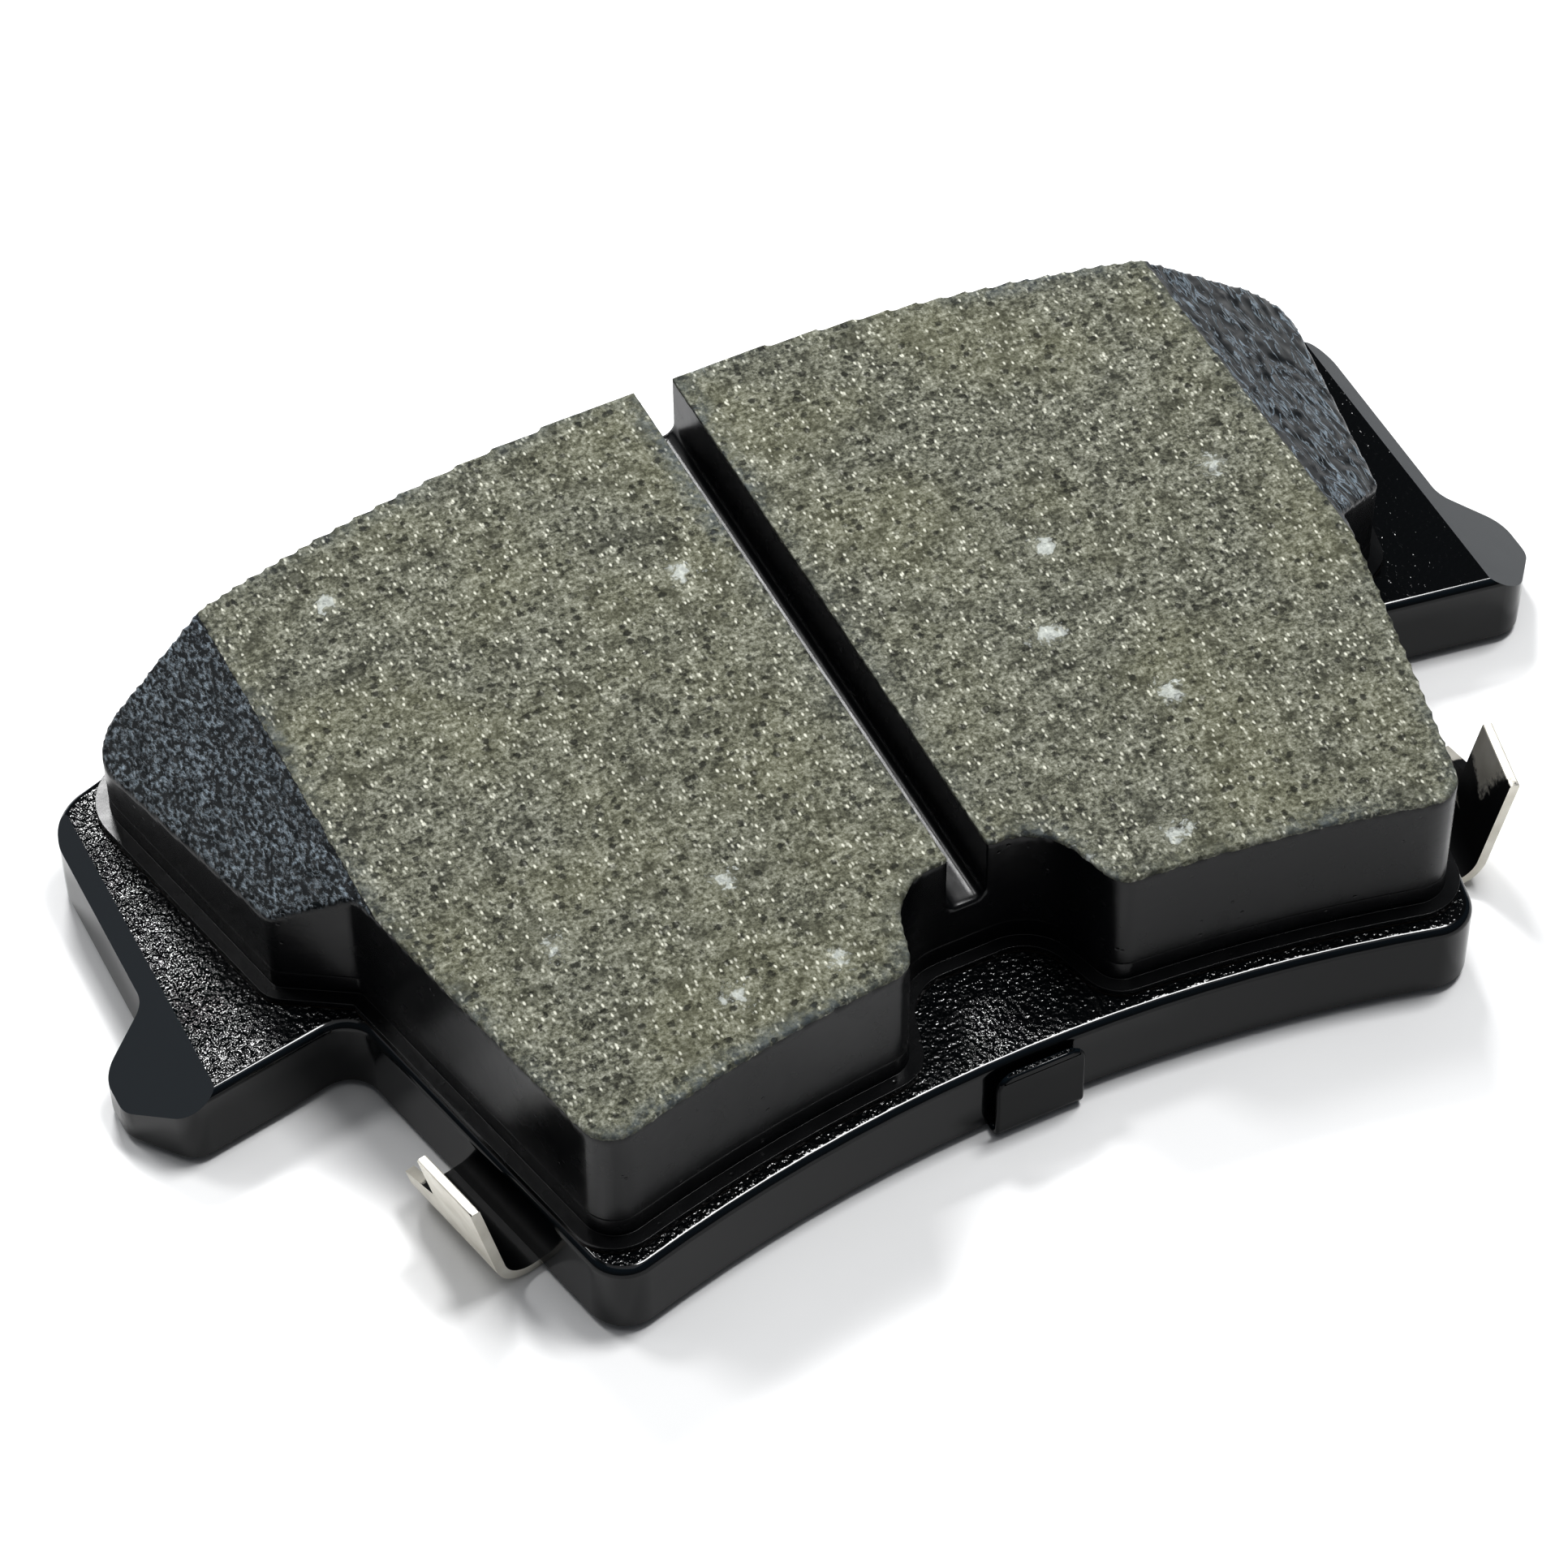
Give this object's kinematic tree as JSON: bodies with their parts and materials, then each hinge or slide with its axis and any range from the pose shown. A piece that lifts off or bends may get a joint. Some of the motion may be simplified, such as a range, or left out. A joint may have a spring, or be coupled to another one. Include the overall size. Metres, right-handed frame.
{
  "type": "disc brake pad",
  "caption": "Disc brake pad with a slotted, chamfered friction block on an eared steel plate, a tabbed shim behind it and sprung wear strips at its sides.",
  "frame": {"origin": "on the pad's centre line, on the outer face of the shim that the pad lies on, level with the ears' hub-side edges", "axes": "+X across the pad towards one ear, +Y away from the wheel's centre, +Z from the shim to the friction face"},
  "size_m": [0.1084, 0.0614, 0.018],
  "materials": {
    "plate_paint": "gloss black powder coat",
    "adhesive": "dark hot-melt film",
    "underlayer": "moulded, painted black on its edges",
    "friction": "ground friction mix with metal and mineral grains",
    "shim_coating": "matt black rubber coat",
    "shim_metal": "black coated steel",
    "damping_layer": "soft bonding layer",
    "strip_metal": "bright rolled spring steel",
    "rivet_metal": "plain steel"
  },
  "bodies": {
    "root": {"backing_plate": "plate_paint", "bond_film": "adhesive", "underlayer": "underlayer", "lining": "friction", "shim_coat": "shim_coating", "shim_steel": "shim_metal", "shim_damping": "damping_layer", "wear_strip_left": "strip_metal", "wear_strip_right": "strip_metal", "wear_rivet_left": "rivet_metal", "wear_rivet_right": "rivet_metal"}
  },
  "joints": []
}
